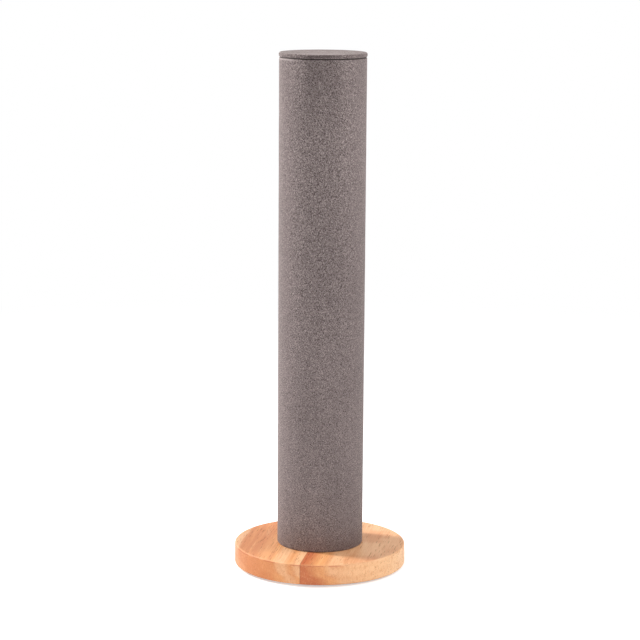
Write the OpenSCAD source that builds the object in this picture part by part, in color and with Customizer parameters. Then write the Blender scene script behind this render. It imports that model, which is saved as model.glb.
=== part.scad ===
// Hair tie holder: a suede-covered post with a lift-off cap on a round wooden base.
// Millimetres, +Z up. The origin is the centre of the footprint, on the table.

/* [Overall] */
// Height from the table to the top of the cap
total_h = 300; // [180:1:400]
// Outside diameter of the covered post
post_d = 50; // [42:1:70]

/* [Core tube] */
// Wall of the rigid paper tube
tube_wall = 2; // [1.5:0.1:4]
// Easing on the tube's cut ends
tube_edge_r = 0.4; // [0.2:0.05:0.7]

/* [Suede covering] */
// Thickness of the suede
cover_t = 0.6; // [0.4:0.05:1.2]
// Opening between the two edges that meet in the back seam
seam_gap = 0.3; // [0.2:0.05:0.8]
// Length of covering turned down into the mouth
mouth_hem = 14; // [10:0.5:30]
// Width of covering turned in under the foot
foot_hem = 8; // [5:0.5:12]
// Number of tabs that each turned hem is cut into
hem_tabs = 16; // [8:1:24]
// Opening between two tabs at the free edge of a hem
tab_gap = 0.9; // [0.4:0.1:1.6]
// Hem left whole between its fold and the cuts that make the tabs
tab_root = 1; // [0.5:0.1:2]

/* [Foot plug] */
// Thickness of the plug glued into the foot of the tube
plug_t = 15; // [12:0.5:25]
// Glue gap round the plug
plug_glue = 0.1; // [0.05:0.05:0.3]

/* [Base] */
// Diameter of the wooden base
base_d = 100; // [90:1:160]
// Thickness of the wooden base
base_t = 12; // [9:0.5:20]
// Rounding on the rim of the base
base_edge_r = 1; // [0.5:0.1:3]
// Distance of the glued joint from the centre of the base
board_joint_x = -3; // [-8:0.5:8]
// Turn of the grain away from the front-to-back line
grain_turn = 9.5; // [0:0.5:45]

/* [Feet] */
// Diameter of a foot pad
pad_d = 12; // [8:0.5:16]
// Thickness of a foot pad
pad_t = 1.2; // [0.8:0.1:3]
// Rounding on the lower edge of a foot pad
pad_edge_r = 0.4; // [0.2:0.05:0.6]
// Wood left between a pad and the rim
pad_inset = 6; // [3:0.5:10]

/* [Clamp bolt] */
// Diameter of the bolt's shank
bolt_d = 6; // [5:0.5:8]
// Diameter of the button head
head_d = 10.5; // [9:0.5:13]
// Height of the button head
head_h = 3.3; // [2.5:0.1:4.5]
// Width across the flats of the hexagon socket
socket_af = 4; // [3:0.5:5]
// Depth of the hexagon socket
socket_depth = 2; // [1.2:0.1:2.2]
// How far the head lies above the underside of the base
head_recess = 1.1; // [0.5:0.1:3]
// Length of bolt that shows past the tee nut
bolt_tip = 2; // [1:0.5:5]
// Clearance all round the shank where it passes through
shank_gap = 0.3; // [0.1:0.05:0.6]
// Diameter of the washer
washer_d = 18; // [15:0.5:22]
// Thickness of the washer
washer_t = 1.6; // [1:0.1:2.5]
// Clearance all round the washer in its counterbore
washer_gap = 1; // [0.5:0.1:2]

/* [Tee nut] */
// Diameter of the tee nut's flange
flange_d = 19; // [17:0.5:24]
// Thickness of the flange
flange_t = 1.4; // [1:0.1:2]
// Length of the threaded barrel below the flange
barrel_l = 9; // [6:0.5:11]
// Wall of the threaded barrel
barrel_wall = 0.9; // [0.6:0.1:1.4]
// Clearance between the bolt and its thread, and between the barrel and its hole
thread_gap = 0.05; // [0.02:0.01:0.1]
// Width of a prong where it leaves the flange
prong_w = 4; // [2.5:0.5:5]
// Length of a prong
prong_l = 6.5; // [4:0.5:9]
// How far the prongs stand in from the flange's edge
prong_inset = 0.5; // [0.3:0.1:1.5]

/* [Cap] */
// How far the cap stands out beyond the post
cap_overhang = 0.2; // [0:0.05:1]
// Thickness of the board inside the cap
cap_board_t = 1.5; // [1:0.1:4]
// Width of covering turned in under the cap
cap_hem = 8; // [5:0.5:10]
// Depth of the spigot that holds the cap in the mouth
spigot_h = 8; // [5:0.5:12]
// Clearance all round the spigot
spigot_gap = 0.3; // [0.15:0.05:0.6]
// Lead-in on the lower edge of the spigot
spigot_chamfer = 1; // [0.4:0.1:2]

/* [Hidden] */
$fn = 96;
eps = 0.01;
past = 1; // a cutter runs this far past the face that it opens

SUEDE = "#857876";
WOOD_PALE = "#ecb57e";
WOOD_RED = "#dfa06c";
PAPER = "#b59a78";
FIBREBOARD = "#a98258";
RUBBER = "#d9d9d6";
STEEL = "#b9bcc0";

// The turned edge of the covering bends round the eased edge inside it
fold_r = cover_t + tube_edge_r;

// Heights, from the table up
base_z = pad_t;
post_z = base_z + base_t;
cap_t = cap_board_t + 2 * cover_t;
cap_z = total_h - cap_t;
tube_z = post_z + cover_t;
tube_top_z = cap_z - cover_t;
plug_top_z = tube_z + plug_t;
head_z = base_z + head_recess;
washer_z = head_z + head_h;
web_z = washer_z + washer_t;
bolt_top_z = plug_top_z + flange_t + bolt_tip;

// Radii of the post
post_r = post_d / 2;
tube_r = post_r - cover_t;
bore_r = tube_r - tube_wall;
mouth_r = bore_r - cover_t;
foot_hem_r = bore_r - foot_hem;

// Radii of the cap
cap_r = post_r + cap_overhang;
cap_board_r = cap_r - cover_t;
cap_hem_r = cap_board_r - cap_hem;
spigot_r = mouth_r - spigot_gap;

// Radii of the bolt, its holes and the tee nut
bolt_r = bolt_d / 2;
shank_hole_r = bolt_r + shank_gap;
counterbore_r = washer_d / 2 + washer_gap;
thread_r = bolt_r + thread_gap;
barrel_r = thread_r + barrel_wall;
flange_r = flange_d / 2;
bolt_chamfer = 0.8;
prongs = 4;

pads = 4;
pad_circle_r = base_d / 2 - pad_inset - pad_d / 2;
SEAM_ANGLE = 90; // the seam is at the back

// A rectangle from x0 to x1 and z0 to z1, with its corners at x1 rounded,
// and its corners at x0 too where both_sides is set
module eased_section(x0, x1, z0, z1, r, both_sides = false) {
    inner = both_sides ? x0 + r : x0;
    translate([inner, z0]) square([x1 - r - inner, z1 - z0]);
    translate([x0, z0 + r]) square([x1 - x0, z1 - z0 - 2 * r]);
    for (z = [z0 + r, z1 - r]) {
        translate([x1 - r, z]) circle(r);
        if (both_sides) translate([inner, z]) circle(r);
    }
}

// The gaps between the tabs of a hem turned in flat, from z0 up to z1.
// Each gap closes to nothing at r_root and is widest at the free edge r_edge
module flat_tab_gaps(r_edge, r_root, z0, z1) {
    widen = (r_root - r_edge + past) / (r_root - r_edge);
    for (k = [0 : hem_tabs - 1])
        rotate(SEAM_ANGLE + (k + 0.5) * 360 / hem_tabs)
            translate([0, 0, z0])
                linear_extrude(z1 - z0)
                    polygon([[r_root, 0],
                        [r_edge - past, tab_gap * widen / 2],
                        [r_edge - past, -tab_gap * widen / 2]]);
}

// The gaps between the tabs turned down inside the mouth, closing upwards
module mouth_tab_gaps() {
    top = cap_z - fold_r - tab_root;
    low = cap_z - mouth_hem;
    widen = (top - low + past) / (top - low);
    for (k = [0 : hem_tabs - 1])
        rotate(SEAM_ANGLE + (k + 0.5) * 360 / hem_tabs)
            translate([mouth_r - past, 0, 0])
                rotate([90, 0, 90])
                    linear_extrude(cover_t + past + tube_wall / 2)
                        polygon([[0, top],
                            [-tab_gap * widen / 2, low - past],
                            [tab_gap * widen / 2, low - past]]);
}

module core_tube() {
    color(PAPER)
        rotate_extrude()
            eased_section(bore_r, tube_r, tube_z, tube_top_z, tube_edge_r, true);
}

// One sheet of suede round the tube, its long edges meeting at the back and its
// ends turned over the rim into the mouth and in under the foot
module post_cover() {
    color(SUEDE)
        difference() {
            rotate_extrude()
                difference() {
                    union() {
                        eased_section(mouth_r, post_r, post_z, cap_z, fold_r, true);
                        translate([foot_hem_r, post_z]) square([tube_r - foot_hem_r, cover_t]);
                    }
                    eased_section(bore_r, tube_r, tube_z, tube_top_z, tube_edge_r, true);
                    translate([mouth_r - past, tube_z])
                        square([bore_r + tube_edge_r - mouth_r + past, tube_edge_r]);
                    translate([mouth_r - past, tube_z])
                        square([bore_r - mouth_r + past, cap_z - mouth_hem - tube_z]);
                }
            flat_tab_gaps(foot_hem_r, post_r - fold_r - tab_root, post_z - past, tube_z + past);
            mouth_tab_gaps();
            rotate(SEAM_ANGLE)
                translate([0, -seam_gap / 2, post_z - past])
                    cube([post_r + past, seam_gap, cap_z - post_z + 2 * past]);
        }
}

// A plug glued in the foot of the tube, bored and slotted for the tee nut
module foot_plug() {
    color(FIBREBOARD)
        difference() {
            translate([0, 0, tube_z]) cylinder(r = bore_r - plug_glue, h = plug_t);
            translate([0, 0, tube_z - past])
                cylinder(r = barrel_r + thread_gap, h = plug_t + 2 * past);
            tee_nut_prongs(thread_gap);
        }
}

// Pointed prongs bent down from the flange into the plug
module tee_nut_prongs(gap = 0) {
    for (k = [0 : prongs - 1])
        rotate((k + 0.5) * 360 / prongs)
            translate([flange_r - prong_inset - flange_t - gap, 0, plug_top_z])
                rotate([90, 0, 90])
                    linear_extrude(flange_t + 2 * gap)
                        polygon([[-prong_w / 2 - gap, eps], [-prong_w / 2 - gap, 0],
                            [0, -prong_l - gap], [prong_w / 2 + gap, 0], [prong_w / 2 + gap, eps]]);
}

module tee_nut() {
    color(STEEL)
        difference() {
            union() {
                translate([0, 0, plug_top_z]) cylinder(r = flange_r, h = flange_t);
                translate([0, 0, plug_top_z - barrel_l]) cylinder(r = barrel_r, h = barrel_l + eps);
                tee_nut_prongs();
            }
            translate([0, 0, plug_top_z - barrel_l - past])
                cylinder(r = thread_r, h = barrel_l + flange_t + 2 * past);
        }
}

// Button-head bolt, put in from below
module clamp_bolt() {
    dome_r = (pow(head_d / 2, 2) + head_h * head_h) / (2 * head_h);
    color(STEEL)
        difference() {
            union() {
                translate([0, 0, head_z])
                    intersection() {
                        cylinder(d = head_d, h = head_h);
                        translate([0, 0, dome_r]) sphere(dome_r);
                    }
                translate([0, 0, washer_z - eps])
                    cylinder(r = bolt_r, h = bolt_top_z - bolt_chamfer - washer_z + eps);
                translate([0, 0, bolt_top_z - bolt_chamfer])
                    cylinder(r1 = bolt_r, r2 = bolt_r - bolt_chamfer, h = bolt_chamfer);
            }
            translate([0, 0, head_z - past])
                cylinder(d = socket_af / cos(30), h = socket_depth + past, $fn = 6);
        }
}

module clamp_washer() {
    color(STEEL)
        translate([0, 0, washer_z])
            difference() {
                cylinder(d = washer_d, h = washer_t);
                translate([0, 0, -past]) cylinder(r = shank_hole_r, h = washer_t + 2 * past);
            }
}

// The round base before it is parted along its glued joint
module base_blank() {
    difference() {
        rotate_extrude()
            eased_section(0, base_d / 2, base_z, post_z, base_edge_r);
        translate([0, 0, base_z - past]) cylinder(r = shank_hole_r, h = base_t + 2 * past);
        translate([0, 0, base_z - past]) cylinder(r = counterbore_r, h = web_z - base_z + past);
    }
}

// side is -1 for the board left of the joint and 1 for the board right of it
module base_board(side, tint) {
    color(tint)
        intersection() {
            base_blank();
            rotate(-grain_turn)
                translate([side > 0 ? board_joint_x : board_joint_x - base_d, -base_d, 0])
                    cube([base_d, 2 * base_d, post_z + past]);
        }
}

module foot_pad(k) {
    color(RUBBER)
        rotate((k + 0.5) * 360 / pads)
            translate([pad_circle_r, 0, 0])
                rotate_extrude()
                    difference() {
                        eased_section(0, pad_d / 2, 0, pad_t + pad_edge_r, pad_edge_r);
                        translate([0, pad_t]) square([pad_d, pad_t]);
                    }
}

module cap_board() {
    color(PAPER)
        rotate_extrude()
            eased_section(0, cap_board_r, cap_z + cover_t, total_h - cover_t, tube_edge_r);
}

// Suede over the cap's board, turned in below it
module cap_cover() {
    color(SUEDE)
        difference() {
            rotate_extrude()
                difference() {
                    eased_section(0, cap_r, cap_z, total_h, fold_r);
                    eased_section(0, cap_board_r, cap_z + cover_t, total_h - cover_t, tube_edge_r);
                    translate([0, cap_z - past]) square([cap_hem_r, cover_t + past + eps]);
                }
            flat_tab_gaps(cap_hem_r, cap_r - fold_r - tab_root, cap_z - past, cap_z + cover_t);
        }
}

// A disc glued under the cap, which drops into the mouth
module cap_spigot() {
    color(FIBREBOARD)
        translate([0, 0, cap_z - spigot_h]) {
            cylinder(r1 = spigot_r - spigot_chamfer, r2 = spigot_r, h = spigot_chamfer);
            translate([0, 0, spigot_chamfer]) cylinder(r = spigot_r, h = spigot_h - spigot_chamfer);
        }
}

base_board(-1, WOOD_PALE);  // base_board_left
base_board(1, WOOD_RED);  // base_board_right
foot_pad(0);  // foot_pad_1
foot_pad(1);  // foot_pad_2
foot_pad(2);  // foot_pad_3
foot_pad(3);  // foot_pad_4
clamp_bolt();
clamp_washer();
tee_nut();
foot_plug();
core_tube();
post_cover();
cap_board();
cap_cover();
cap_spigot();
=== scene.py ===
"""Dresses the hair tie holder: suede, rubberwood, board, rubber and zinc plate on its packed solids.

Metres, +Z up, in the frame of the packed model.
"""
from collections import namedtuple
from math import ceil, cos, exp, hypot, pi, radians, sin, sqrt, tau

import bpy
from bpy.props import FloatProperty, FloatVectorProperty, IntProperty, PointerProperty
from bpy.types import Operator, Panel, PropertyGroup
from mathutils import Matrix, Vector, noise


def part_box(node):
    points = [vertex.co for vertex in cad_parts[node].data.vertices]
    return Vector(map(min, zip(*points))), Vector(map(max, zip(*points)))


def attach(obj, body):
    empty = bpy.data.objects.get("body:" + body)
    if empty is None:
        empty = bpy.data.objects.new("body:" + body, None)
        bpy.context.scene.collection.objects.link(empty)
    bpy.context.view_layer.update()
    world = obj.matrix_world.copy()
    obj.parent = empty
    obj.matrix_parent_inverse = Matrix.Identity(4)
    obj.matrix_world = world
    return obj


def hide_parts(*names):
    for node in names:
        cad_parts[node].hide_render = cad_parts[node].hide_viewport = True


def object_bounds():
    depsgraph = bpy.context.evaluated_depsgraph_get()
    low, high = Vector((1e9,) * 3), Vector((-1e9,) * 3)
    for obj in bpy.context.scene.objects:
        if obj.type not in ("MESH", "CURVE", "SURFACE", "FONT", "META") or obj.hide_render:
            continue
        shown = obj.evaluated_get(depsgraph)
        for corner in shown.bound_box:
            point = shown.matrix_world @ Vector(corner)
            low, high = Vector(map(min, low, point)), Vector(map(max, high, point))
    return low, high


bl_info = {
    "name": "Hair tie holder",
    "version": (1, 0, 0),
    "blender": (4, 5, 0),
    "location": "3D View > Sidebar > Hair tie holder",
    "description": "Dresses the suede-covered hair tie holder",
    "category": "Object",
}

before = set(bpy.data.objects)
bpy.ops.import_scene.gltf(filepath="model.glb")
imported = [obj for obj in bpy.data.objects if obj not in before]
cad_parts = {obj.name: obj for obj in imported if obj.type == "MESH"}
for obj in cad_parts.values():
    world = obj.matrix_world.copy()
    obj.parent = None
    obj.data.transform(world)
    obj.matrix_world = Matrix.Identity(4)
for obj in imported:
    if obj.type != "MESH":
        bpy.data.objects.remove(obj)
CAD_BOX = [list(corner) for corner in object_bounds()]

MM = 0.001
SEAM_ANGLE = pi / 2  # the covering's seam is at the back
ON_AXIS = 1e-6  # metres: what is nearer to the centre line than this lies on it
HUB = 1 * MM  # radius round the centre line that stays even
STAND, CAP = "stand", "cap"


def top(node):
    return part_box(node)[1].z


def foot(node):
    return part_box(node)[0].z


def radius(node):
    low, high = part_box(node)
    return (high.x - low.x) / 2


def linear(code):
    """The linear colour of a six-digit code such as 'ecb57e'."""
    shares = [int(code[k:k + 2], 16) / 255 for k in (0, 2, 4)]
    return tuple(s / 12.92 if s <= 0.04045 else ((s + 0.055) / 1.055) ** 2.4 for s in shares)


# sizes and colours that a user may change


def length(name, description, default, high=1.0):
    return FloatProperty(name=name, description=description, default=default, min=0, max=high,
                         unit="LENGTH", subtype="DISTANCE", precision=5)


def share(name, description, default):
    return FloatProperty(name=name, description=description, default=default, min=0, max=1,
                         subtype="FACTOR")


def angle(name, description, default):
    return FloatProperty(name=name, description=description, default=radians(default),
                         unit="ROTATION", subtype="ANGLE")


def colour(name, description, code):
    return FloatVectorProperty(name=name, description=description, default=linear(code),
                               min=0, max=1, subtype="COLOR")


class CoveringSizes(PropertyGroup):
    """Sizes of the two suede coverings."""

    tube_wall: length("Tube wall", "Wall of the paper tube under the suede", 2 * MM)
    edge: length("Eased edge", "Rounding of the board edges that the suede bends over", 0.4 * MM)
    mouth_hem: length("Mouth hem", "Suede turned down into the mouth", 14 * MM)
    foot_hem: length("Foot hem", "Suede turned in under the foot", 8 * MM)
    cap_hem: length("Cap hem", "Suede turned in under the cap", 8 * MM)
    tabs: IntProperty(name="Tabs", description="Tabs that each turned hem is cut into",
                      default=16, min=6, max=32)
    tab_gap: length("Tab gap", "Opening between two tabs at the free edge", 0.9 * MM)
    tab_root: length("Tab root", "Hem left whole beside its fold", 1 * MM)
    seam_gap: length("Seam gap", "Opening between the two edges of the back seam", 0.3 * MM)
    seam_lip: length("Seam lip", "How far the suede swells beside the seam", 0.12 * MM)
    lip_width: length("Lip width", "Width of the swelling beside the seam", 1.6 * MM)
    waviness: length("Waviness", "How far the glued suede departs from round", 0.05 * MM)
    grain: length("Grain", "Size of the mottled grain in the nap", 0.46 * MM)


class CoveringColours(PropertyGroup):
    """Colours of the suede."""

    nap: colour("Nap", "Suede with its nap laid smooth", "a69694")
    hollow: colour("Hollow", "Suede in the hollows of its grain", "393131")
    hair: colour("Hair", "Bright ends of single hairs", "c6b9b6")
    gloss: colour("Gloss", "Tint of the gloss at grazing angles", "fff1ec")
    sheen: share("Sheen", "Strength of the soft gloss at grazing angles", 0.3)


class WoodSizes(PropertyGroup):
    """Sizes of the figure in the wood."""

    grain_turn: angle("Grain turn", "Turn of the grain from the front-to-back line", 9.5)
    ring: length("Ring", "Width of a year's growth", 5.5 * MM)
    pore: length("Pore", "Width of a pore", 0.27 * MM)
    pore_length: length("Pore length", "Length of a pore along the grain", 5 * MM)


class WoodColours(PropertyGroup):
    """Colours of the rubberwood."""

    cream: colour("Cream", "Greyer sapwood at the outer edge", "f1be90")
    pale: colour("Pale", "Palest sapwood", "fbd0a0")
    honey: colour("Honey", "Middle tone", "ecaa70")
    amber: colour("Amber", "Between the middle tone and the darker streaks", "db935e")
    tan: colour("Tan", "Darker streaks", "d08352")
    red: colour("Red", "Red strip beside the glued joint", "b95c38")
    pore: colour("Pore", "Open pores", "6c361b")


class HardwareSizes(PropertyGroup):
    """Sizes of the clamp bolt."""

    pitch: length("Pitch", "Pitch of the bolt's thread", 1 * MM)
    thread_depth: length("Thread depth", "Depth of the bolt's thread", 0.55 * MM)
    shank: length("Shank", "Radius of the bolt's shank", 3 * MM)
    socket: length("Socket", "Width across the flats of the hexagon socket", 4 * MM)
    socket_depth: length("Socket depth", "Depth of the hexagon socket", 2 * MM)
    chamfer: length("Chamfer", "Chamfer on the bolt's tip", 0.8 * MM)


class PlainColours(PropertyGroup):
    """Colours of the hidden pieces and of the floor."""

    board: colour("Board", "Kraft board of the tube and the cap", "b8976c")
    fibreboard: colour("Fibreboard", "Fibreboard of the plug and the spigot", "a07a50")
    rubber: colour("Rubber", "Silicone of the foot pads", "d5d5d0")
    zinc: colour("Zinc", "Zinc plate", "c6c9cc")
    floor: colour("Floor", "Pale floor", "efefef")


class StageSizes(PropertyGroup):
    """The camera and the studio round the holder."""

    distance: length("Distance", "Camera to the post's centre line", 1.239, high=10)
    height: length("Height", "Camera above the table", 0.3717, high=10)
    pitch: angle("Pitch", "How far the camera looks down", 10.342)
    roll: angle("Roll", "Turn of the camera about its own line of sight", 0.395)
    yaw: angle("Yaw", "Turn of the camera to the left", 0.0354)
    lens: FloatProperty(name="Lens", description="Focal length on a 36 mm wide sensor",
                        default=122.3, min=10, max=500, unit="CAMERA")
    world: FloatProperty(name="World", description="Strength of the even light all round",
                         default=0.42, min=0, max=5)
    lift: share("Lift", "Light that the camera sees added to the floor", 0.45)


GROUPS = {
    "covering_sizes": CoveringSizes,
    "covering_colours": CoveringColours,
    "wood_sizes": WoodSizes,
    "wood_colours": WoodColours,
    "hardware_sizes": HardwareSizes,
    "plain_colours": PlainColours,
    "stage_sizes": StageSizes,
}


# shader maths


class Signal:
    """A shader socket that takes part in sums: each operator adds its Math node."""

    def __init__(self, paint, socket):
        self.paint, self.socket = paint, socket

    def _math(self, operation, *values):
        return self.paint.add("Math", {"operation": operation}, dict(enumerate(values)))

    def __add__(self, other):
        return self._math("ADD", self, other)

    def __sub__(self, other):
        return self._math("SUBTRACT", self, other)

    def __rsub__(self, other):
        return self._math("SUBTRACT", other, self)

    def __mul__(self, other):
        return self._math("MULTIPLY", self, other)

    def __truediv__(self, other):
        return self._math("DIVIDE", self, other)

    def __pow__(self, other):
        return self._math("POWER", self, other)

    __radd__, __rmul__ = __add__, __mul__

    def apply(self, operation, *others):
        return self._math(operation, self, *others)

    def band(self, low, high):
        """0 below low, 1 above high, smooth between; low may be the greater."""
        if low > high:
            return 1 - self.band(high, low)
        return self.paint.add("MapRange", {"interpolation_type": "SMOOTHSTEP"},
                              {"Value": self, "From Min": low, "From Max": high})


class Paint:
    """One material, or world, and the nodes in it."""

    def __init__(self, name, owner=None):
        self.material = owner or bpy.data.materials.new(name)
        self.material.use_nodes = True
        self.tree = self.material.node_tree
        self.tree.nodes.clear()

    def add(self, kind, settings=None, sockets=None, output=0):
        """Adds a node; its settings are set first, then the values and links of its sockets."""
        node = self.tree.nodes.new("ShaderNode" + kind)
        for key, value in (settings or {}).items():
            if key == "stops":
                self._set_stops(node.color_ramp.elements, value)
            else:
                setattr(node, key, value)
        live = [s for s in node.inputs if s.enabled]
        for key, value in (sockets or {}).items():
            socket = live[key] if isinstance(key, int) else next(s for s in live if s.name == key)
            if isinstance(value, Signal):
                self.tree.links.new(value.socket, socket)
            elif socket.type == "RGBA":
                socket.default_value = (*value, 1)
            else:
                socket.default_value = value
        outputs = [s for s in node.outputs if s.enabled]
        if outputs:
            chosen = outputs[output] if isinstance(output, int) else node.outputs[output]
            return Signal(self, chosen)

    @staticmethod
    def _set_stops(elements, stops):
        while len(elements) < len(stops):
            elements.new(0.5)
        for element, (place, tint) in zip(elements, stops):
            element.position = place
            element.color = (*tint, 1)

    def place(self):
        """Where a point of the piece lies, in millimetres."""
        where = self.add("TexCoord", output="Object")
        return self.add("VectorMath", {"operation": "SCALE"}, {0: where, "Scale": 1 / MM})

    def split(self, where):
        return [self.add("SeparateXYZ", None, {0: where}, output=axis) for axis in "XYZ"]

    def stretch(self, where, x, y, z):
        return self.add("VectorMath", {"operation": "MULTIPLY"}, {0: where, 1: (x, y, z)})

    def noise(self, where, scale, detail=2.0, roughness=0.5, distortion=0.0):
        return self.add("TexNoise", None, {"Vector": where, "Scale": scale, "Detail": detail,
                                           "Roughness": roughness, "Distortion": distortion})

    def mix(self, factor, first, second):
        """The colour first, turned to second by factor."""
        return self.add("Mix", {"data_type": "RGBA"}, {"Factor": factor, "A": first, "B": second})

    def coat(self, tint, *coats):
        """The colour tint below its coats: each is (factor, colour), and lies over the one before."""
        for factor, over in coats:
            tint = self.mix(factor, tint, over)
        return tint

    def bump(self, height, strength, depth):
        return self.add("Bump", None, {"Height": height, "Strength": strength, "Distance": depth})

    def shine(self, **sockets):
        """The surface shader, and the end of the material."""
        names = {key.replace("_", " "): value for key, value in sockets.items()}
        surface = self.add("BsdfPrincipled", None, names)
        self.add("OutputMaterial", None, {"Surface": surface})
        return self.material


# finishes


def tones(group, *names):
    """Colours of a group, ready for a socket."""
    return [tuple(getattr(group, name)) for name in names]


def scaled(tint, *shares):
    """The colour with each channel scaled by its share, or all by the one that is given."""
    return tuple(min(channel * part, 1) for channel, part in zip(tint, shares * 3))


class Nap:
    """The suede at one point: its place in millimetres, the way that it faces, and its strands.

    fineness is how fine the strands are along x, y and z: they are drawn out in the way they lie.
    """

    def __init__(self, paint, fineness, grain):
        self.paint = paint
        self.where = paint.place()
        self.x, self.y, self.z = paint.split(self.where)
        self.ahead, self.rise = paint.split(paint.add("TexCoord", output="Normal"))[1:]
        self.level = self.rise.apply("ABSOLUTE")
        self.front = self.ahead.band(-0.83, -0.99)
        self.rim = foot("cap_cover") / MM
        self.on_cap = self.z.band(self.rim - 0.1, self.rim + 0.3)
        self.crown = self.on_cap * self.rise.band(0.9, 1.0)
        self.per_mm = [fine * MM / grain for fine in fineness]

    def strands(self, at, scale, *detail):
        return self.paint.noise(self.paint.stretch(at, *self.per_mm), scale, *detail)

    def pile(self):
        """The height of the nap, and its single hairs."""
        swirl = self.paint.add("TexNoise", None, {"Vector": self.where, "Scale": 0.9, "Detail": 1.0},
                               output="Color")
        combed, tangled = (
            self.paint.add("VectorMath", {"operation": "MULTIPLY_ADD"},
                           {0: swirl, 1: (reach, reach, reach), 2: self.where})
            for reach in (0.7, 1.6))
        grain = self.strands(combed, 1.0, 3.0, 0.7)
        tuft = self.strands(combed, 2.3, 2.0, 0.6)
        hair = self.strands(tangled, 4.0, 1.0)
        return grain * 1.2 + tuft * 0.5 + hair * 0.4, hair

    def specks(self):
        """Noise for light and dark specks, read elsewhere than the grain so that they differ."""
        elsewhere = self.paint.add("VectorMath", {"operation": "ADD"}, {0: self.where, 1: (37, 11, 5)})
        return self.strands(elsewhere, 1.0, 1.0)

    def handled(self):
        """How much the specks show: most in front and where it lies level, least at the foot."""
        facing = self.ahead.band(-0.5, -0.85) + self.level.band(0.7, 0.95)
        return (0.35 + self.z.band(10, 240) * 0.65) * (0.6 + facing * 0.4)

    def painted_highlights(self):
        """Painted highlights: on the cap's bend, on the front of its crown, and on the post's rim at
        the left.
        """
        bend = self.on_cap * self.rise.band(0.6, 0.85) * self.rise.band(0.99, 0.93)
        near = self.crown * self.y.band(-12, -24)
        rim = self.z.band(self.rim - 1.7, self.rim - 1.1) * self.z.band(self.rim - 0.2, self.rim - 0.6)
        return bend * 0.35 + near * 0.35 + rim * self.x.band(-12, -20) * 0.45

    def laid(self):
        """Where the nap is darker: in random patches, and in painted shade on the cap's side and
        crown, on the post's front and on its right side.
        """
        brushed = self.paint.noise(self.paint.stretch(self.where, 0.05, 0.05, 0.02), 1.0, 2.0) - 0.5
        side = self.on_cap * self.level.band(0.85, 0.5) * (0.14 + self.front * 0.42)
        below_rim = self.z.band(self.rim - 50, self.rim) * 0.22
        middle = self.z.band(self.rim - 180, self.rim - 100) * 0.08
        front = self.front * (1 - self.on_cap) * (below_rim + middle)
        right = self.x.band(-6, 12) * self.z.band(255, 180) * 0.13
        outer = self.y.band(0, 24) * 0.2 + self.x.apply("ABSOLUTE").band(5, 22) * 0.12
        shade = brushed * 0.35 + side + front + right + self.crown * (0.29 + outer)
        return shade.apply("MAXIMUM", 0.0)

    def painted_foot_shade(self):
        """Painted shade on the foot of the post, warmed by a painted reflection of the wood, more to
        its right.
        """
        sole = foot("post_cover") / MM
        return self.z.band(sole + 16, sole) * (0.15 + self.x.band(-5, 20) * 0.15)

    def groove(self):
        """Painted shade in the groove below the cap, on what faces outward, and less at the left."""
        depth = (self.z - self.rim + 0.1).apply("ABSOLUTE").band(0.6, 0.2)
        return depth * (0.85 - self.x.band(-10, -24) * 0.4) * self.level.band(0.99, 0.93)


def suede(context, name, fineness):
    """Short mottled nap with a few bright hairs and darker patches, and painted highlights and painted
    shade.
    """
    colours = context.scene.covering_colours
    smooth, hollow, bright, gloss = tones(colours, "nap", "hollow", "hair", "gloss")
    paint = Paint(name)
    nap = Nap(paint, fineness, context.scene.covering_sizes.grain)
    height, hair = nap.pile()
    speck, handled = nap.specks(), nap.handled()
    tint = paint.coat(
        hollow,
        (height.band(0.86, 1.26), smooth),
        (hair.band(0.6, 0.8) * 0.5, bright),
        (speck.band(0.54, 0.66) * 0.65 * handled, bright),
        (speck.band(0.46, 0.36) * 0.8 * handled, hollow),
        # painted highlights on the cap's bend, its crown's front and the post's rim at the left
        (nap.painted_highlights(), bright),
        # random darker patches, and painted shade on the cap and on the post's front and right
        (nap.laid(), hollow),
        # painted shade and painted reflection of the wood on the post's foot
        (nap.painted_foot_shade(), scaled(hollow, 1.5, 0.75, 0.5)),
        # painted shade in the groove below the cap
        (nap.groove(), scaled(hollow, 0.3)),
    )
    return paint.shine(
        Base_Color=tint,
        Roughness=0.95,
        Specular_IOR_Level=0.15,
        Sheen_Weight=colours.sheen,
        Sheen_Roughness=0.35,
        Sheen_Tint=gloss,
        Normal=paint.bump(height, 0.5, 0.22 * MM),
    )


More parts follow.
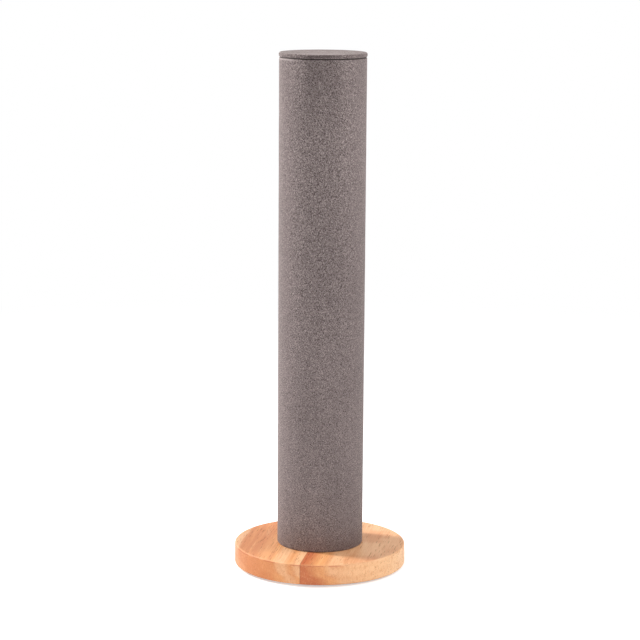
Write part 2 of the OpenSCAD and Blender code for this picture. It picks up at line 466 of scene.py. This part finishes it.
class Timber:
    """The wood at one point: its place across, along and up the grain, in millimetres.

    shift moves the figure along the grain, so that two boards don't show the same.
    """

    def __init__(self, paint, sizes, shift):
        self.paint, self.sizes = paint, sizes
        turn = sizes.grain_turn
        turned = paint.add("VectorRotate", {"rotation_type": "Z_AXIS"},
                           {"Vector": paint.place(), "Angle": turn})
        self.where = paint.add("VectorMath", {"operation": "ADD"}, {0: turned, 1: (0, shift, 0)})
        self.across, self.run, self.up = paint.split(self.where)
        normal = paint.add("TexCoord", output="Normal")
        facing = paint.add("VectorMath", {"operation": "DOT_PRODUCT"},
                           {0: normal, 1: (sin(turn), cos(turn), 0)}, output="Value")
        self.wall = 1 - paint.split(normal)[2].apply("ABSOLUTE")
        self.end_grain = facing.apply("ABSOLUTE").band(0.3, 0.9)
        self.warp = (self.along(16, 80) - 0.5) * 5
        self.face = top("base_board_right") / MM

    def along(self, wide, long, detail=2.0, roughness=0.5, at=None):
        """Noise drawn out along the grain, whose patches are so wide and so long."""
        spot = self.paint.stretch(at or self.where, 1 / wide, 1 / long, 1 / wide)
        return self.paint.noise(spot, 1.0, detail, roughness)

    def bands(self, stops):
        """Broad bands across the grain, which step aside low on the sawn edge."""
        low, high = stops[0][0], stops[-1][0]
        step = self.up.band(7.5, 4.5) * 5
        place = (self.across + self.warp + self.up * 0.15 - step - low) / (high - low)
        shares = [((mm - low) / (high - low), tint) for mm, tint in stops]
        return self.paint.add("ValToRGB", {"stops": shares}, {0: place})

    def rings(self, pith):
        """The late wood of each year, and streaks that follow the rings."""
        side, depth = self.across - pith[0] + self.warp, self.up - pith[1]
        reach = (side * side + depth * depth) ** 0.5
        year = (reach * (MM / self.sizes.ring)).apply("FRACT")
        late = year.band(0.35, 0.9) * year.band(1.0, 0.93)
        on_ring = self.paint.add("CombineXYZ", None, {0: reach, 1: self.run, 2: depth * 0.12})
        return late, self.along(1.5, 45, 3.0, 0.6, on_ring)

    def pores(self):
        """Open pores: more in some patches than in others, and fewer on the end grain."""
        filled = 0.42  # how much of its cell's width a pore takes
        wide, long = filled * MM / self.sizes.pore, filled * MM / self.sizes.pore_length
        cell = self.paint.stretch(self.where, wide, long, wide)
        hole = self.paint.add("TexVoronoi", {"feature": "F1"}, {"Vector": cell, "Scale": 1.0})
        uneven = hole + (self.along(0.8, 9, 1.0) - 0.5) * 0.45
        crowd = self.along(5, 25, 1.0).band(0.32, 0.6) * (1 - self.end_grain * 0.5)
        return uneven.band(0.27, 0.15) * (0.25 + crowd * 0.75)

    def painted_rim_highlight(self):
        """Painted highlight on the sanded rim between the face and the sawn edge."""
        x, y, z = self.paint.split(self.paint.place())
        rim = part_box("base_board_right")[1].x / MM
        outer = ((x * x + y * y) ** 0.5).band(rim - 1.3, rim - 0.4)
        return outer * z.band(self.face - 1.2, self.face - 0.4)

    def painted_arris_shade(self, cloud):
        """A broken line of painted shade along the top of the sawn edge, which fades towards the
        right.
        """
        depth = (self.up - self.face + 0.8).apply("ABSOLUTE")
        broken = cloud.band(0.42, 0.5) * self.across.band(28, 14)
        return self.wall.band(0.1, 0.4) * depth.band(0.5, 0.2) * broken


# How a board's sawn edge differs from its face, as painted shade where the tint is darker and painted
# light where it is paler: more from start to end, by share, towards tint
EdgeLightAndShade = namedtuple("EdgeLightAndShade", "start end share tint")


def rubberwood(context, name, stops, joint, pith, shift, edge):
    """Boards whose figure follows the grain: bands across it, rings, streaks, fibres and pores.

    stops are (millimetres across the grain, colour), joint is where the glue line lies across the
    grain, and pith is where the rings have their centre, across and up.
    """
    colours = context.scene.wood_colours
    pale, tan, red, dark = tones(colours, "pale", "tan", "red", "pore")
    paint = Paint(name)
    wood = Timber(paint, context.scene.wood_sizes, shift)
    wall = wood.wall
    late, streak = wood.rings(pith)
    cloud = wood.along(5, 30)
    vein = wood.along(0.7, 30, 2.0, 0.6)
    fibre = wood.along(0.22, 8, 2.0, 0.7)
    fleck = paint.noise(paint.stretch(wood.where, 1 / 0.8, 1 / 8, 1 / 2.5), 1.0, 2.0, 0.6)
    pore = wood.pores()
    glue = (wood.across - joint).apply("ABSOLUTE").band(0.3, 0.1)
    tint = paint.coat(
        wood.bands(stops),
        (late * 0.18, tan),
        (streak.band(0.5, 0.68) * (0.55 - wall * 0.3), tan),
        (streak.band(0.42, 0.28) * 0.4, pale),
        (cloud.band(0.5, 0.75) * 0.25, tan),
        (vein.band(0.5, 0.72) * 0.35, tan),
        (vein.band(0.44, 0.26) * 0.3, pale),
        (fibre.band(0.45, 0.72) * 0.35, tan),
        # painted shade on the left board's sawn edge, painted light on the right board's
        (wall * wood.across.band(edge.start, edge.end) * edge.share, edge.tint),
        (wood.end_grain * 0.2 + wall * fleck.band(0.5, 0.68) * 0.35, tan),
        (wall * fleck.band(0.45, 0.3) * 0.15, pale),
        (pore * 0.55, dark),
        # painted highlight on the rim
        (wood.painted_rim_highlight() * 0.12, pale),
        # painted shade along the top of the sawn edge
        (wood.painted_arris_shade(cloud) * 0.5, red),
        (glue * 0.45, dark),
    )
    return paint.shine(
        Base_Color=tint,
        Roughness=0.5 + pore * 0.3 + (fibre - 0.5) * 0.1,
        Specular_IOR_Level=0.35,
        Normal=paint.bump(fibre * 0.3 + streak * 0.2 - pore, 0.35, 0.15 * MM),
    )


def pale_board(context):
    """The left board: tan and amber bands at its outer edge, paler towards the joint."""
    colours = context.scene.wood_colours
    cream, honey, amber, tan = tones(colours, "cream", "honey", "amber", "tan")
    bands = ((-50, cream), (-42.7, cream), (-40.5, tan), (-37.5, amber), (-35.5, tan),
             (-33.5, amber), (-31.5, tan), (-27.5, amber), (-22.5, honey), (-18.5, honey),
             (-15.5, cream), (-11, cream), (-8, honey), (-4.5, cream), (-3, cream))
    # painted shade on the sawn edge towards the board's outer end
    return rubberwood(context, "pale_rubberwood", bands, joint=bands[-1][0], pith=(-60, -20),
                      shift=0, edge=EdgeLightAndShade(start=-14, end=-22, share=0.65, tint=tan))


def red_board(context):
    """The right board: a red strip beside the joint, and cream from there on."""
    colours = context.scene.wood_colours
    cream, pale, honey, tan, red = tones(colours, "cream", "pale", "honey", "tan", "red")
    bands = ((-3, red), (1.5, red), (5, tan), (9, honey), (12, honey), (16, cream), (50, cream))
    # painted light on the sawn edge towards the board's right end
    return rubberwood(context, "red_rubberwood", bands, joint=bands[0][0], pith=(30, 70),
                      shift=200, edge=EdgeLightAndShade(start=10, end=32, share=0.5, tint=pale))


def kraft_board(context):
    """Spiral-wound paper: a seam that climbs round the tube, and short fibres."""
    tint = tuple(context.scene.plain_colours.board)
    paint = Paint("kraft_board")
    where = paint.place()
    x, y, z = paint.split(where)
    climb = 88  # millimetres that the seam rises in a turn
    turn = y.apply("ARCTAN2", x) / tau
    ply = (z / climb - turn).apply("FRACT")
    seam = ply.band(0.012, 0.004) + ply.band(0.988, 0.996)
    fibre = paint.noise(paint.stretch(where, 1.2, 1.2, 3.0), 1.0, 3.0, 0.6)
    cloud = paint.noise(where, 0.12, 2.0)
    mixed = paint.coat(scaled(tint, 1.25),
                       (fibre.band(0.35, 0.7) * 0.4 + cloud * 0.2, scaled(tint, 0.6)),
                       (seam * 0.7, scaled(tint, 0.3)))
    return paint.shine(Base_Color=mixed, Roughness=0.85, Specular_IOR_Level=0.25,
                       Normal=paint.bump(fibre - seam, 0.3, 0.15 * MM))


def fibreboard(context):
    """Pressed fibres: fine specks, darker on the machined edge."""
    tint = tuple(context.scene.plain_colours.fibreboard)
    paint = Paint("pressed_fibre")
    where = paint.place()
    speck = paint.noise(where, 2.2, 3.0, 0.7)
    fleck = paint.noise(paint.stretch(where, 0.8, 2.4, 3.0), 1.0, 2.0, 0.5)
    edge = 1 - paint.split(paint.add("TexCoord", output="Normal"))[2].apply("ABSOLUTE")
    mixed = paint.coat(tint,
                       (speck.band(0.4, 0.7) * 0.5 + edge * 0.25, scaled(tint, 0.55)),
                       (fleck.band(0.62, 0.75) * 0.5, scaled(tint, 1.6)))
    return paint.shine(Base_Color=mixed, Roughness=0.8, Specular_IOR_Level=0.3,
                       Normal=paint.bump(speck + fleck * 0.5, 0.4, 0.12 * MM))


def silicone(context):
    """Milky rubber with a dull skin and a little dust."""
    tint = tuple(context.scene.plain_colours.rubber)
    paint = Paint("milky_silicone")
    where = paint.place()
    skin = paint.noise(where, 3.0, 2.0, 0.6)
    dust = paint.noise(where, 0.5, 3.0, 0.6).band(0.5, 0.8)
    mixed = paint.coat(tint, (dust * 0.35, scaled(tint, 0.75)))
    return paint.shine(Base_Color=mixed, Roughness=0.45 + dust * 0.25, Specular_IOR_Level=0.4,
                       Normal=paint.bump(skin, 0.15, 0.08 * MM))


def zinc_plate(context):
    """Bright plate over turned steel, clouded and lightly scratched."""
    tint = tuple(context.scene.plain_colours.zinc)
    paint = Paint("zinc_plate")
    where = paint.place()
    cloud = paint.noise(where, 0.7, 3.0, 0.6)
    scratch = paint.noise(paint.stretch(where, 1.0, 9.0, 2.0), 1.0, 2.0, 0.6, 0.4)
    mixed = paint.coat(tint, (cloud.band(0.35, 0.75), scaled(tint, 0.72)))
    return paint.shine(Base_Color=mixed, Metallic=1.0,
                       Roughness=0.24 + cloud * 0.14 + scratch.band(0.6, 0.75) * 0.12,
                       Normal=paint.bump(scratch, 0.12, 0.05 * MM))


def give(piece, material):
    """Puts the material into every slot of the piece."""
    slots = piece.data.materials
    if not slots:
        slots.append(material)
    for k in range(len(slots)):
        slots[k] = material


# meshes


def new_piece(name, points, faces, material, sharp=50):
    """Makes a smooth mesh, creased where two faces meet at more than sharp degrees."""
    mesh = bpy.data.meshes.new(name)
    mesh.from_pydata(points, [], faces)
    mesh.validate()
    mesh.update()
    piece = bpy.data.objects.new(name, mesh)
    bpy.context.scene.collection.objects.link(piece)
    mesh.shade_smooth()
    mesh.set_sharp_from_angle(angle=radians(sharp))
    mesh.materials.append(material)
    return piece


def line(start, end, steps):
    """Points from start up to, and without, end."""
    return [(start[0] + (end[0] - start[0]) * k / steps, start[1] + (end[1] - start[1]) * k / steps)
            for k in range(steps)]


def arc(centre, reach, first, last, steps):
    """Points on an arc from first up to, and without, last, in degrees."""
    turns = [radians(first + (last - first) * k / steps) for k in range(steps)]
    return [(centre[0] + reach * cos(t), centre[1] + reach * sin(t)) for t in turns]


class Sheet:
    """A sheet of suede wrapped round the centre line, with thickness.

    face and back are its two surfaces as points (radius, height), one for one, from edge to edge.
    cuts are the lengths of the cuts between the tabs at its first and last edge, and seam is
    whether the sheet is open at the back. offset says how far a point of its face is moved.
    """

    def __init__(self, face, back, cuts, sizes, seam, offset):
        self.face, self.back, self.opening = face, back, openings(face, cuts)
        self.sizes, self.seam, self.offset = sizes, seam, offset
        self.points, self.faces, self.found = [], [], {}

    def corner(self, side, row, turn):
        """The number of a corner on the face, or on the back where side is 0."""
        r, z = (self.face if side else self.back)[row]
        key = (side, row, round(turn % tau, 6) if r > ON_AXIS else 0)
        if key not in self.found:
            if side:
                dr, dz = self.offset(turn, r, z)
                r, z = r + dr, z + dz
            self.found[key] = len(self.points)
            self.points.append((r * cos(turn), r * sin(turn), z))
        return self.found[key]

    def add_face(self, *corners):
        """Adds a face, less the corners that fall together."""
        kept = [c for k, c in enumerate(corners) if c != corners[k - 1]]
        if len(kept) > 2:
            self.faces.append(kept)

    def build(self, columns):
        """Fills the panels between one cut and the next, each with so many columns of faces."""
        tabs = self.sizes.tabs
        cuts = [SEAM_ANGLE + (k + 0.5) * tau / tabs for k in range(tabs)]
        if self.seam:
            ends = [SEAM_ANGLE] + cuts + [SEAM_ANGLE + tau]
        else:
            ends = cuts + [cuts[0] + tau]
        for k, (first, last) in enumerate(zip(ends, ends[1:])):
            at_seam = (self.seam and k == 0, self.seam and k == len(ends) - 2)
            self.panel(first, last, at_seam, columns)
        return self.points, self.faces

    def turns(self, row, first, last, at_seam, columns):
        """The angles of one row's corners across a panel, closer together beside the seam."""
        crowding = 1.7
        reach = max(self.face[row][0], HUB)
        cut = self.opening[row] * self.sizes.tab_gap / 2 / reach
        seam = self.sizes.seam_gap / 2 / reach
        first += seam if at_seam[0] else cut
        last -= seam if at_seam[1] else cut
        places = [k / columns for k in range(columns + 1)]
        if at_seam[0]:
            places = [p ** crowding for p in places]
        if at_seam[1]:
            places = [1 - (1 - p) ** crowding for p in places]
        return [first + (last - first) * p for p in places]

    def panel(self, first, last, at_seam, columns):
        """Both surfaces from one angle to another, and the thickness along their open edges."""
        rows = len(self.face)
        grid = [self.turns(row, first, last, at_seam, columns) for row in range(rows)]
        for row in range(rows - 1):
            upper, lower = grid[row], grid[row + 1]
            for side in (0, 1):
                for k in range(columns):
                    quad = [self.corner(side, row, upper[k]), self.corner(side, row, upper[k + 1]),
                            self.corner(side, row + 1, lower[k + 1]),
                            self.corner(side, row + 1, lower[k])]
                    self.add_face(*(quad if side else quad[::-1]))
            open_here = self.opening[row] > 0 or self.opening[row + 1] > 0
            for k, seam_here in ((0, at_seam[0]), (columns, at_seam[1])):
                if open_here or seam_here:
                    wall = [self.corner(0, row, upper[k]), self.corner(1, row, upper[k]),
                            self.corner(1, row + 1, lower[k]), self.corner(0, row + 1, lower[k])]
                    self.add_face(*(wall[::-1] if k else wall))
        for row in (0, rows - 1):
            if self.face[row][0] < ON_AXIS:
                continue
            turns = grid[row]
            for k in range(columns):
                strip = [self.corner(0, row, turns[k]), self.corner(0, row, turns[k + 1]),
                         self.corner(1, row, turns[k + 1]), self.corner(1, row, turns[k])]
                self.add_face(*(strip if row == 0 else strip[::-1]))

    def lengths(self):
        """How far along the sheet each row lies, at half its thickness."""
        middle = [((f[0] + b[0]) / 2, (f[1] + b[1]) / 2) for f, b in zip(self.face, self.back)]
        run, reached = [0.0], 0.0
        for a, b in zip(middle, middle[1:]):
            reached += hypot(b[0] - a[0], b[1] - a[1])
            run.append(reached)
        return middle, run

    def cut_area(self):
        """The area of the flat cut: what lies round the centre line, less its gaps."""
        middle, run = self.lengths()
        total = 0.0
        for k in range(len(run) - 1):
            reach = (middle[k][0] + middle[k + 1][0]) / 2
            gaps = self.sizes.tabs * self.sizes.tab_gap * (self.opening[k] + self.opening[k + 1]) / 2
            total += (run[k + 1] - run[k]) * (tau * reach - gaps)
        return total


def openings(face, cuts):
    """The share of the tab gap at each point: 1 at a free edge, 0 from the root on.

    cuts are the lengths of the cuts at the sheet's first and last edge.
    """
    run = [0.0]
    for a, b in zip(face, face[1:]):
        run.append(run[-1] + hypot(b[0] - a[0], b[1] - a[1]))
    shares = []
    for reached in run:
        from_ends = (reached, run[-1] - reached)
        shares.append(max([0.0] + [1 - d / c for d, c in zip(from_ends, cuts) if c and d < c]))
    return shares


def waves(turn, z, size, period):
    """A slow, smooth unevenness, read on a round as wide as the post."""
    around = 25 * MM
    return size * noise.noise(Vector((cos(turn) * around, sin(turn) * around, z)) / period)


def post_sheet(sizes):
    """The post's covering, from its hem in the mouth, over the rim, to its hem under the foot."""
    tube_r, tube_top, tube_foot = radius("core_tube"), top("core_tube"), foot("core_tube")
    post_r, rim, sole = radius("post_cover"), top("post_cover"), foot("post_cover")
    thick = post_r - tube_r
    bore_r = tube_r - sizes.tube_wall
    mouth_r, hem_r = bore_r - thick, bore_r - sizes.foot_hem
    fold = sizes.edge + thick
    inner, outer = mouth_r + fold, post_r - fold
    high, low = rim - fold, sole + fold

    def surface(wall_in, wall_out, reach, above, below):
        """One surface, whose bends have the radius reach."""
        return (line((wall_in, rim - sizes.mouth_hem), (wall_in, high), steps=12)
                + arc((inner, high), reach, 180, 90, steps=6)
                + line((inner, above), (outer, above), steps=3)
                + arc((outer, high), reach, 90, 0, steps=8)
                + line((wall_out, high), (wall_out, low), steps=48)
                + arc((outer, low), reach, 0, -90, steps=8)
                + line((outer, below), (hem_r, below), steps=10)
                + [(hem_r, below)])

    face = surface(mouth_r, post_r, fold, rim, sole)
    back = surface(bore_r, tube_r, sizes.edge, tube_top, tube_foot)
    cuts = (sizes.mouth_hem - fold - sizes.tab_root, outer - sizes.tab_root - hem_r)

    def within(z, reach):
        """0 at the rim and at the sole, and 1 from reach away on."""
        return min(1, (rim - z) / reach, (z - sole) / reach)

    def lip(across):
        """The swelling beside the seam, which falls off to both sides and dips at the very edge."""
        far = across / sizes.lip_width
        return sizes.seam_lip * (1.6 * far * exp(1 - 1.6 * far) - 0.35 * exp(-9 * far ** 2))

    def offset(turn, r, z):
        if r < post_r - fold / 2:
            return 0, 0
        across = abs((turn - SEAM_ANGLE + pi) % tau - pi) * r
        swelling = max(within(z, 6 * MM), 0.2) * lip(across)
        return swelling + within(z, 3 * MM) * waves(turn, z, sizes.waviness, 20 * MM), 0

    return Sheet(face, back, cuts, sizes, seam=True, offset=offset)


def cap_sheet(sizes):
    """The cap's covering, from its hem below the board, round the edge, to the crown's middle."""
    cap_r, crown, under = radius("cap_cover"), top("cap_cover"), foot("cap_cover")
    board_r = radius("cap_board")
    thick = cap_r - board_r
    fold = sizes.edge + thick
    hem_r, turn_r = board_r - sizes.cap_hem, cap_r - fold
    low, high = under + fold, crown - fold

    def surface(reach, wall, below, above):
        """One surface, whose bends have the radius reach."""
        return (line((hem_r, below), (turn_r, below), steps=10)
                + arc((turn_r, low), reach, -90, 0, steps=8)
                + line((wall, low), (wall, high), steps=2)
                + arc((turn_r, high), reach, 0, 90, steps=8)
                + line((turn_r, above), (0, above), steps=24)
                + [(0, above)])

    face = surface(fold, cap_r, under, crown)
    back = surface(sizes.edge, board_r, under + thick, crown - thick)
    cuts = (turn_r - sizes.tab_root - hem_r, None)

    def offset(turn, r, z):
        if z < high or r < HUB:
            return 0, 0
        half = 0.5 * sizes.waviness
        return 0, waves(turn, r, half, 9 * MM) - half

    return Sheet(face, back, cuts, sizes, seam=False, offset=offset)


def turned_piece(name, rows, segments, material):
    """A solid of revolution whose rows are functions from the angle to (radius, height).

    The first and last row are points on the axis.
    """
    turns = [tau * k / segments for k in range(segments)]
    points, rings = [], []
    for k, row in enumerate(rows):
        at_axis = k in (0, len(rows) - 1)
        ring = []
        for turn in turns[:1] if at_axis else turns:
            r, z = row(turn)
            ring.append(len(points))
            points.append((r * cos(turn), r * sin(turn), z))
        rings.append(ring * segments if at_axis else ring)
    faces = []
    for a, b in zip(rings, rings[1:]):
        for k in range(segments):
            n = (k + 1) % segments
            quad = [a[k], a[n], b[n], b[k]]
            faces.append([c for i, c in enumerate(quad) if c != quad[i - 1]])
    return new_piece(name, points, faces, material, sharp=28)


# operators


class HOLDER_OT_post_covering(Operator):
    """Wraps the post in one sheet of suede, seamed at the back and turned in at both ends"""

    bl_idname = "holder.post_covering"
    bl_label = "Post covering"

    def execute(self, context):
        sheet = post_sheet(context.scene.covering_sizes)
        points, faces = sheet.build(columns=12)
        piece = new_piece("post_covering", points, faces,
                          suede(context, "napped_suede", fineness=(1.7, 1.7, 0.65)))
        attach(piece, STAND)
        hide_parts("post_cover")
        middle, run = sheet.lengths()
        width = tau * max(r for r, z in middle)
        sheet.cut_area()
        return {"FINISHED"}


class HOLDER_OT_cap_covering(Operator):
    """Covers the cap's board with a disc of suede turned in below it"""

    bl_idname = "holder.cap_covering"
    bl_label = "Cap covering"

    def execute(self, context):
        sheet = cap_sheet(context.scene.covering_sizes)
        points, faces = sheet.build(columns=12)
        piece = new_piece("cap_covering", points, faces,
                          suede(context, "napped_suede_disc", fineness=(1.4, 0.65, 0.8)))
        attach(piece, CAP)
        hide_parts("cap_cover")
        across = 2 * sheet.lengths()[1][-1]
        sheet.cut_area()
        return {"FINISHED"}


class HOLDER_OT_base_boards(Operator):
    """Gives the two glued boards of the base their wood"""

    bl_idname = "holder.base_boards"
    bl_label = "Base boards"

    def execute(self, context):
        give(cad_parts["base_board_left"], pale_board(context))
        give(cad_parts["base_board_right"], red_board(context))
        return {"FINISHED"}


class HOLDER_OT_foot_pads(Operator):
    """Gives the four stick-on pads their rubber"""

    bl_idname = "holder.foot_pads"
    bl_label = "Foot pads"

    def execute(self, context):
        rubber = silicone(context)
        for name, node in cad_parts.items():
            if name.startswith("foot_pad"):
                give(node, rubber)
        return {"FINISHED"}


class HOLDER_OT_inner_boards(Operator):
    """Gives the tube, the plug, the cap's board and its spigot their board"""

    bl_idname = "holder.inner_boards"
    bl_label = "Inner boards"

    def execute(self, context):
        kraft, pressed = kraft_board(context), fibreboard(context)
        for name in ("core_tube", "cap_board"):
            give(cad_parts[name], kraft)
        for name in ("foot_plug", "cap_spigot"):
            give(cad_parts[name], pressed)
        return {"FINISHED"}


class HOLDER_OT_hardware(Operator):
    """Cuts the clamp bolt's thread and socket, and plates the washer and the tee nut"""

    bl_idname = "holder.hardware"
    bl_label = "Hardware"

    def execute(self, context):
        sizes = context.scene.hardware_sizes
        plate = zinc_plate(context)
        for name in ("clamp_washer", "tee_nut"):
            give(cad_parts[name], plate)
        piece = turned_piece("threaded_bolt", bolt_rows(sizes), segments=48, material=plate)
        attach(piece, STAND)
        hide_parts("clamp_bolt")
        return {"FINISHED"}


def bolt_rows(sizes):
    """The bolt from the floor of its socket, over its domed head and up its thread to the tip."""
    crown, seat, tip = foot("clamp_bolt"), foot("clamp_washer"), top("clamp_bolt")
    head_r, head_h = radius("clamp_bolt"), seat - crown
    ball = (head_r ** 2 + head_h ** 2) / (2 * head_h)  # radius of the ball that the dome is part of
    floor = crown + sizes.socket_depth
    drill_point = 0.2 * MM  # hollow in the middle of the socket's floor
    broken_edge = 0.15 * MM  # the socket's wall ends this far inside the dome
    mouth = 2.55 * MM  # the dome begins here, just outside the hexagon's corners
    shank_start = seat + 0.01 * MM
    dome_rings, pitch_rings = 9, 8
    crest, flank = 0.15, 0.7  # shares of half a pitch

    def even(r, z):
        return lambda turn: (r, z)

    def hexagon(turn):
        return sizes.socket / 2 / cos((turn + pi / 6) % (pi / 3) - pi / 6)

    def dome(r):
        return crown + ball - sqrt(ball ** 2 - r ** 2)

    def thread(z):
        def row(turn):
            phase = abs(((z / sizes.pitch - turn / tau) % 1) * 2 - 1)
            groove = min(max((phase - crest) / flank, 0), 1) * sizes.thread_depth
            at_tip = sizes.shank - max(0, z - (tip - sizes.chamfer))
            return min(sizes.shank - groove, at_tip), z
        return row

    rows = [even(0, floor + drill_point),
            lambda turn: (hexagon(turn), floor),
            lambda turn: (hexagon(turn), dome(hexagon(turn)) + broken_edge)]
    for k in range(dome_rings + 1):
        r = mouth + (head_r - mouth) * k / dome_rings
        rows.append(even(r, dome(r)))
    rows += [even(head_r, seat), even(sizes.shank, shank_start)]
    steps = ceil((tip - shank_start) / sizes.pitch * pitch_rings)
    rows += [thread(shank_start + (tip - shank_start) * k / steps) for k in range(1, steps + 1)]
    rows.append(even(0, tip))
    return rows


def softbox(name, place, width, height, watts):
    """An area lamp that faces the middle of the holder."""
    light = bpy.data.lights.new(name, "AREA")
    light.shape = "RECTANGLE"
    light.size, light.size_y = width, height
    light.energy = watts
    lamp = bpy.data.objects.new(name, light)
    bpy.context.scene.collection.objects.link(lamp)
    middle = Vector((0, 0, CAD_BOX[1][2] / 2))
    lamp.location = place
    lamp.rotation_euler = (middle - Vector(place)).to_track_quat("-Z", "Y").to_euler()


def seen(paint):
    """1 for rays from the camera, and those that a mirror or glass sends on."""
    camera, mirror, through = (paint.add("LightPath", output=name) for name in
                               ("Is Camera Ray", "Is Glossy Ray", "Is Transmission Ray"))
    return camera.apply("MAXIMUM", mirror).apply("MAXIMUM", through)


class HOLDER_OT_stage(Operator):
    """Sets the pale floor, the soft studio light and the camera"""

    bl_idname = "holder.stage"
    bl_label = "Stage"

    def execute(self, context):
        self.floor(context)
        self.world(context)
        softbox("left_softbox", place=(-1.0, 0.38, 0.95), width=0.2, height=0.7, watts=18.7)
        softbox("right_softbox", place=(0.9, -0.05, 0.7), width=0.4, height=0.7, watts=6.3)
        softbox("front_softbox", place=(-0.2, -1.5, 0.6), width=0.8, height=0.8, watts=6.8)
        self.camera(context)
        context.scene.view_settings.view_transform = "Standard"
        return {"FINISHED"}

    def floor(self, context):
        """A pale matt floor that keeps the shadow near the holder and is white to the eye beyond."""
        half = 6.0  # metres from the centre to each side
        shadow_end, white_start = 200, 900  # millimetres from the centre
        corners = [(-half, -half, 0), (half, -half, 0), (half, half, 0), (-half, half, 0)]
        paint = Paint("pale_floor")
        matt = paint.add("BsdfPrincipled", None, {
            "Base Color": tuple(context.scene.plain_colours.floor), "Roughness": 0.9,
            "Specular IOR Level": 0.1})
        away = paint.add("VectorMath", {"operation": "LENGTH"}, {0: paint.place()}, output="Value")
        lift, eye = context.scene.stage_sizes.lift, seen(paint)
        glow = paint.add("Emission", None, {"Color": (1, 1, 1), "Strength": eye * lift})
        near = paint.add("AddShader", None, {0: matt, 1: glow})
        white = paint.add("Emission", None, {"Color": (1, 1, 1), "Strength": 1.0})
        surface = paint.add("MixShader", None, {0: eye * away.band(shadow_end, white_start),
                                                1: near, 2: white})
        paint.add("OutputMaterial", None, {"Surface": surface})
        new_piece("pale_floor", corners, [(0, 1, 2, 3)], paint.material)

    def world(self, context):
        """Even light all round, white to the eye."""
        world = bpy.data.worlds.new("studio")
        context.scene.world = world
        paint = Paint("studio", world)
        level = context.scene.stage_sizes.world
        even = paint.add("Background", None, {"Color": (1, 1, 1),
                                              "Strength": seen(paint) * (1 - level) + level})
        paint.add("OutputWorld", None, {"Surface": even})

    def camera(self, context):
        """The photograph's view: from the front and slightly above."""
        sizes = context.scene.stage_sizes
        camera = bpy.data.cameras.new("camera")
        camera.sensor_width = 36
        camera.lens = sizes.lens
        camera.clip_start, camera.clip_end = 0.01, 50
        view = bpy.data.objects.new("camera", camera)
        context.scene.collection.objects.link(view)
        view.matrix_world = (Matrix.Translation((0, -sizes.distance, sizes.height))
                             @ Matrix.Rotation(sizes.yaw, 4, "Z")
                             @ Matrix.Rotation(pi / 2 - sizes.pitch, 4, "X")
                             @ Matrix.Rotation(sizes.roll, 4, "Z"))
        context.scene.camera = view


OPERATORS = (HOLDER_OT_stage, HOLDER_OT_post_covering, HOLDER_OT_cap_covering,
             HOLDER_OT_base_boards, HOLDER_OT_foot_pads, HOLDER_OT_inner_boards,
             HOLDER_OT_hardware)


class HOLDER_PT_panel(Panel):
    """Lists the holder's pieces and the sizes and colours that they are made from"""

    bl_idname = "HOLDER_PT_panel"
    bl_label = "Hair tie holder"
    bl_space_type = "VIEW_3D"
    bl_region_type = "UI"
    bl_category = "Hair tie holder"

    def draw(self, context):
        for operator in OPERATORS:
            self.layout.operator(operator.bl_idname)
        for key, group in GROUPS.items():
            box = self.layout.box()
            box.label(text=group.__doc__)
            for name in group.__annotations__:
                box.prop(getattr(context.scene, key), name)


CLASSES = (*GROUPS.values(), *OPERATORS, HOLDER_PT_panel)


def register():
    for item in CLASSES:
        bpy.utils.register_class(item)
    for key, group in GROUPS.items():
        setattr(bpy.types.Scene, key, PointerProperty(type=group))


def unregister():
    for key in GROUPS:
        delattr(bpy.types.Scene, key)
    for item in reversed(CLASSES):
        bpy.utils.unregister_class(item)


def main():
    register()
    for operator in OPERATORS:
        package, name = operator.bl_idname.split(".")
        getattr(getattr(bpy.ops, package), name)()
    bpy.context.view_layer.update()


if __name__ == "__main__":
    main()
